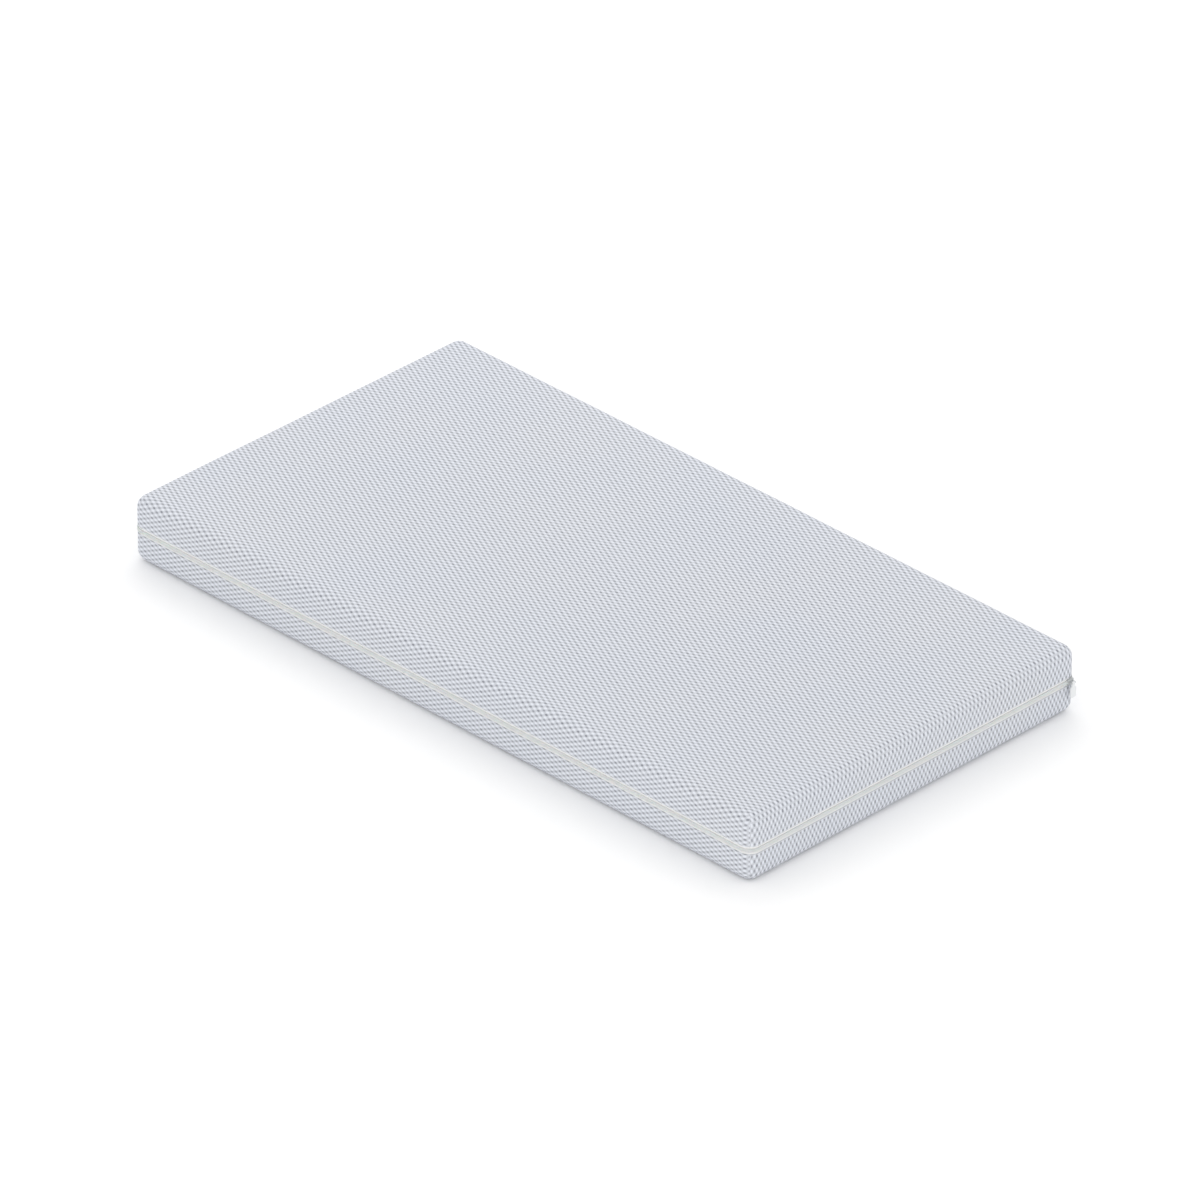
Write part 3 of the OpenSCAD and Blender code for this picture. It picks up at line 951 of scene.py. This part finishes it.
def bend_round_rear(mesh):
    """Bends what stands past the start of a rear corner to follow the tape round it."""
    points = np.empty(3 * len(mesh.vertices))
    mesh.vertices.foreach_get("co", points)
    x, y, z = points.reshape(-1, 3).T
    radius = np.abs(x) - FLAT_X
    angle = np.maximum(y - FLAT_Y, 0) / (EDGE - TAPE_INSET)
    bent_x = np.sign(x) * (FLAT_X + radius * np.cos(angle))
    bent_y = np.minimum(y, FLAT_Y) + radius * np.sin(angle)
    mesh.vertices.foreach_set("co", np.stack([bent_x, bent_y, z], axis=-1).ravel())


def softened(name, node, body, width, material, slot, bent=False):
    """A copy of a hard CAD node with its sharp edges rounded off."""
    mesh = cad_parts[node].data.copy()
    mesh.name = name
    mesh.materials.clear()
    shape = bmesh.new()
    shape.from_mesh(mesh)
    bmesh.ops.remove_doubles(shape, verts=shape.verts, dist=1e-6)
    bmesh.ops.dissolve_limit(
        shape, angle_limit=math.radians(1), verts=shape.verts, edges=shape.edges, delimit={"NORMAL"}
    )
    folded = [edge for edge in shape.edges if edge.is_manifold]
    crisp = [edge for edge in folded if edge.calc_face_angle() > math.radians(35)]
    bmesh.ops.bevel(
        shape, geom=crisp, offset=width, segments=3, profile=0.5, affect="EDGES", clamp_overlap=True
    )
    bmesh.ops.dissolve_degenerate(shape, dist=1e-7, edges=shape.edges)
    bmesh.ops.recalc_face_normals(shape, faces=shape.faces)
    shape.to_mesh(mesh)
    shape.free()
    if bent:
        bend_round_rear(mesh)
    mesh.shade_smooth()
    mesh.set_sharp_from_angle(angle=math.radians(40))
    piece(name, mesh, body, material, slot, [node])


def make_hardware():
    """The slider with its pull, and the stops at the zip's ends."""
    paint = painted_metal("slider_paint", shade(186, 189, 190), shade(142, 144, 147))
    pull_paint = painted_metal("pull_paint", shade(226, 228, 229), shade(188, 190, 193))
    softened("slider_shell", "slider_body", "slider", 0.22 * MM, paint, "slider_metal")
    softened("slider_bridge", "slider_crown", "slider", 0.18 * MM, paint, "slider_metal")
    steel = spring_steel()
    softened("slider_spring", "slider_lock_spring", "slider", 0.05 * MM, steel, "spring_steel")
    softened("zip_pull_tab", "zip_pull", "pull", 0.30 * MM, pull_paint, "pull")
    for name, node, body in (
        ("top_stop_clip_upper", "top_stop_upper", "cover_upper"),
        ("top_stop_clip_lower", "top_stop_lower", "mattress"),
        ("bottom_stop_box", "bottom_stop", "mattress"),
    ):
        softened(name, node, body, 0.3 * MM, paint, "slider_metal", bent=True)


# ---- seams, sock and foam


def serged(cloth_work, thread_work, start, end, across, out, width, thick):
    """An overlocked cloth edge from start to end: a soft strip, wrapped by loops of thread."""
    start, end, across, out = (np.array(v, float) for v in (start, end, across, out))
    length = np.linalg.norm(end - start)
    along = (end - start) / length
    count = max(int(length / SERGE_PITCH), 4)
    distance = np.linspace(0, length, count + 1)
    offset, height = ring_of(-width / 2, width / 2, -thick / 2, thick / 2)
    wave = SERGE_WAVE * np.sin(distance * 2 * math.pi / SERGE_WAVELENGTH)
    centre = start + along * distance[:, None] + out * wave[:, None]
    rings = centre[:, None] + across * offset[:, None] + out * height[:, None]
    loft(cloth_work, rings)

    step = np.arange(count * SERGE_RINGS + 1) / SERGE_RINGS
    reached = step * length / count
    angle = 2 * math.pi * step
    sway = (width / 2 + SERGE_RADIUS) * np.cos(angle)
    rise = (thick / 2 + SERGE_RADIUS) * np.clip(2 * np.sin(angle), -1, 1)
    rise += SERGE_WAVE * np.sin(reached * 2 * math.pi / SERGE_WAVELENGTH)
    path = start + along * reached[:, None] + across * sway[:, None] + out * rise[:, None]
    reference = np.broadcast_to(along, path.shape)
    tubes(thread_work, path[None], SERGE_RADIUS, 5, reference[None])


def make_corner_seams(cloth, thread):
    """The sewn and overlocked edges inside each upright corner."""
    for half, _ in HALVES:
        node = f"corner_seams_{half}"
        low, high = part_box(node)
        edges, loops = Patchwork(), Patchwork()
        for side_x, side_y in ((-1, -1), (-1, 1), (1, -1), (1, 1)):
            out = np.array([side_x, side_y, 0.0]) / math.sqrt(2)
            across = np.array([-side_y, side_x, 0.0]) / math.sqrt(2)
            place = np.array([side_x * FLAT_X, side_y * FLAT_Y, 0.0]) + out * CORNER_SEAM_RADIUS
            start, end = (place + (0.0, 0.0, z) for z in (low.z, high.z))
            serged(edges, loops, start, end, across, out, CORNER_SEAM_WIDTH, CORNER_SEAM_THICK)
        name, body = f"corner_seam_{half}", BODY_OF[half]
        seam = edges.mesh(f"{name}_edge", weld=1e-7, sharp=60)
        piece(f"{name}_edge", seam, body, cloth, "seam_allowance", [node])
        piece(f"{name}_overlock", loops.mesh(f"{name}_overlock"), body, thread, "thread")


def block_lines(step=0.02):
    """Evenly spaced lines across the flat panel, about that far apart."""
    x_lines = lines_across(FLAT_X, round(2 * FLAT_X / step))
    y_lines = lines_across(FLAT_Y, round(2 * FLAT_Y / step))
    return x_lines, y_lines


def sock_skin(low, high, inset):
    """Both halves of the sock's skin, that far inside its outer face."""
    work = Patchwork()
    edge = high.x - FLAT_X
    x_lines, y_lines = block_lines()
    for upper, flat_z in ((True, high.z), (False, HEIGHT - low.z)):
        centre_z = flat_z - edge
        rows = rows_down(QUARTER + centre_z - MID_Z)
        sag = None if inset else sock_lift
        Block(edge - inset, centre_z, upper, sag).shell(work, x_lines, y_lines, rows)
    return work.mesh("skin", weld=2e-6)


def sock_lift(u, v, t, base_x, base_y, out_x, out_y):
    """The sock's slight pull lines towards the corners."""
    reach, spacing = 0.09, 0.028
    x, y = np.abs(base_x), np.abs(base_y)
    toward = np.exp(-(((x - FLAT_X) / reach) ** 2)) * np.exp(-(((y - FLAT_Y) / reach) ** 2))
    lines = np.sin((x - y) * 2 * math.pi / spacing)
    return -SOCK_PULL * (1 - toward * lines) * (t < QUARTER)


def make_sock(knit):
    """The stretch sock round the foam: a closed skin of knit."""
    low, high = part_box("core_sock")
    shell = bmesh.new()
    shell.from_mesh(sock_skin(low, high, SOCK_THICK))
    bmesh.ops.reverse_faces(shell, faces=shell.faces)
    outside = sock_skin(low, high, 0.0)
    shell.from_mesh(outside)
    shell.to_mesh(outside)
    shell.free()
    outside.name = "foam_sock"
    outside.shade_smooth()
    sock = piece("foam_sock", outside, "mattress", knit, "sock", ["core_sock"])


def make_sock_seam(knit, thread):
    """The overlocked seam that closes the sock at one end."""
    low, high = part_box("sock_seam")
    middle_x, middle_z = (low.x + high.x) / 2, (low.z + high.z) / 2
    start, end = (middle_x, low.y, middle_z), (middle_x, high.y, middle_z)
    edges, loops = Patchwork(), Patchwork()
    serged(edges, loops, start, end, (0, 0, 1), (1, 0, 0), high.z - low.z, high.x - low.x)
    seam = edges.mesh("sock_seam_edge", weld=1e-7, sharp=60)
    piece("sock_seam_edge", seam, "mattress", knit, "sock", ["sock_seam"])
    piece("sock_seam_overlock", loops.mesh("sock_seam_overlock"), "mattress", thread, "thread")


def foam_lift(u, v, t, base_x, base_y, out_x, out_y):
    """A cut foam face isn't quite flat."""
    return FOAM_WAVE * np.sin(base_x * 41 + base_y * 23) * np.sin(base_y * 37 - t * 90)


def make_foam():
    """The two foam layers, each with one rounded face and one flat one."""
    memory = open_cell_foam("memory_foam", shade(240, 232, 200), shade(206, 196, 160), 0.9 * MM)
    base = open_cell_foam("base_foam", shade(218, 226, 234), shade(178, 188, 198), 1.6 * MM)
    x_lines, y_lines = block_lines(0.016)
    for name, node, upper, material in (
        ("memory_foam_layer", "memory_foam", True, memory),
        ("base_foam_layer", "base_foam", False, base),
    ):
        low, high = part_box(node)
        edge = high.x - FLAT_X
        flat_z = high.z if upper else HEIGHT - low.z
        centre_z = flat_z - edge
        depth = QUARTER + centre_z - (low.z if upper else HEIGHT - high.z)
        block = Block(edge, centre_z, upper, foam_lift)
        work = Patchwork()
        block.shell(work, x_lines, y_lines, rows_down(depth, wall_steps=5))
        Block(edge, centre_z, upper).cap(work, x_lines, y_lines, depth)
        mesh = work.mesh(name, weld=0.3 * MM, sharp=50)
        layer = piece(name, mesh, "mattress", material, node, [node])


def paint_adhesive():
    """The film between the foams is the CAD's own solid."""
    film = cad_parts["adhesive_layer"]
    film.data.materials.clear()
    film.data.materials.append(glue_film())


def ribbon_mesh(name, low, high):
    """A blank ribbon in a box's place, whose lower end hangs away towards -X."""
    middle_x, thick = (low.x + high.x) / 2, high.x - low.x
    across = np.linspace(low.y, high.y, LABEL_COLUMNS)
    grid_y, grid_drop = np.meshgrid(across, np.linspace(0, 1, LABEL_ROWS))
    sway = -LABEL_CURL * grid_drop**2 * (1 - LABEL_TWIST * np.cos(math.pi * grid_y / high.y))
    z = high.z - grid_drop * (high.z - low.z)
    faces = grid_faces(*grid_y.shape)
    count = grid_y.size
    index = np.arange(count).reshape(grid_y.shape)
    rim = np.concatenate([index[0], index[1:, -1], index[-1, -2::-1], index[-2:0:-1, 0]])
    joined = np.stack([rim, np.roll(rim, -1), count + np.roll(rim, -1), count + rim], axis=-1)
    skins = [np.stack([middle_x + side * thick / 2 + sway, grid_y, z], axis=-1) for side in (-1, 1)]
    cloth = np.stack([grid_y, z], axis=-1)
    work = Patchwork()
    work.add(np.stack(skins), np.stack([cloth, cloth]), np.concatenate([faces, faces + count]), joined)
    return work.mesh(name, weld=1e-7, sharp=50)


def make_label(satin, thread):
    """A blank label, held by a row of stitches near its top edge."""
    low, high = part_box("care_label")
    ribbon = ribbon_mesh("blank_label", low, high)
    label = piece("blank_label", ribbon, "mattress", satin, "label", ["care_label"])

    margin = LABEL_STITCH_MARGIN
    starts = np.arange(low.y + margin, high.y - margin, LABEL_STITCH_PITCH)
    fraction = np.linspace(0, 1, 5)
    y = starts[:, None] + LABEL_STITCH_LENGTH * fraction
    x = low.x - LABEL_THREAD_RADIUS * np.sin(math.pi * fraction) + np.zeros_like(y)
    path = np.stack([x + 0.05 * MM, y, np.full_like(y, high.z - margin)], axis=-1)
    work = Patchwork()
    tubes(work, path, LABEL_THREAD_RADIUS, 5, np.broadcast_to([-1.0, 0.0, 0.0], path.shape))
    piece("label_stitches", work.mesh("label_stitches"), "mattress", thread, "thread")


# ---- camera, light, floor


def make_camera():
    """The photograph's viewpoint."""
    data = bpy.data.cameras.new("view")
    data.lens = LENS_MM
    data.sensor_width = SENSOR_MM
    data.clip_start = 0.1
    data.clip_end = 200
    camera = linked("view", data)
    a, e = VIEW_AZIMUTH, VIEW_PITCH
    back = Vector((math.sin(a) * math.cos(e), -math.cos(a) * math.cos(e), math.sin(e)))
    right = Vector((math.cos(a), math.sin(a), 0))
    up = back.cross(right)
    axes = Matrix((right, up, back)).transposed().to_4x4()
    place = back * VIEW_DISTANCE + right * VIEW_SIDEWAYS + up * VIEW_UPWARD
    camera.matrix_world = Matrix.Translation(place) @ axes
    bpy.context.scene.camera = camera


def make_floor():
    """A wide plain floor, so pale that it runs into the background."""
    mesh = bpy.data.meshes.new("floor")
    signs = ((-1, -1), (1, -1), (1, 1), (-1, 1))
    corners = [(x * FLOOR_REACH, y * FLOOR_REACH, FLOOR_LEVEL) for x, y in signs]
    mesh.from_pydata(corners, [], [(0, 1, 2, 3)])
    floor = linked("floor", mesh)
    paper = Surface("floor_paper", {"Roughness": 1.0, "Specular IOR Level": 0.0})
    paper.colour(paper.mix(paper.noise(0.4), shade(253, 253, 253), shade(254, 254, 254)))
    mesh.materials.append(paper.material)


def make_light():
    """A bright white room, a soft box high behind the mattress and another on the camera's side."""
    scene = bpy.context.scene
    scene.view_settings.view_transform = "Standard"
    world = bpy.data.worlds.new("room")
    scene.world = world
    world.use_nodes = True
    room = world.node_tree.nodes["Background"]
    room.inputs["Color"].default_value = (1.0, 1.0, 1.0, 1.0)
    room.inputs["Strength"].default_value = ROOM_LIGHT
    soft_box("key_box", *KEY_BOX)
    soft_box("fill_box", *FILL_BOX)


def soft_box(name, place, size, energy):
    """A big rectangular light that faces the mattress."""
    data = bpy.data.lights.new(name, "AREA")
    data.shape = "RECTANGLE"
    data.size, data.size_y = size
    data.energy = energy
    box = linked(name, data)
    box.location = place
    box.rotation_euler = (-box.location).to_track_quat("-Z", "Y").to_euler()
    box.visible_camera = False


make_camera()
make_floor()
make_light()
stitching_thread = sewing_thread()
make_cover(cover_cloth())
make_tapes(zip_tape_weave())
make_coils(coil_nylon(), stitching_thread)
make_stitching(stitching_thread)
make_bar_tacks(stitching_thread)
make_hardware()
make_corner_seams(overlocked_cloth(), stitching_thread)
stretch_knit = sock_knit()
make_sock(stretch_knit)
make_sock_seam(stretch_knit, stitching_thread)
make_foam()
paint_adhesive()
make_label(label_satin(), stitching_thread)
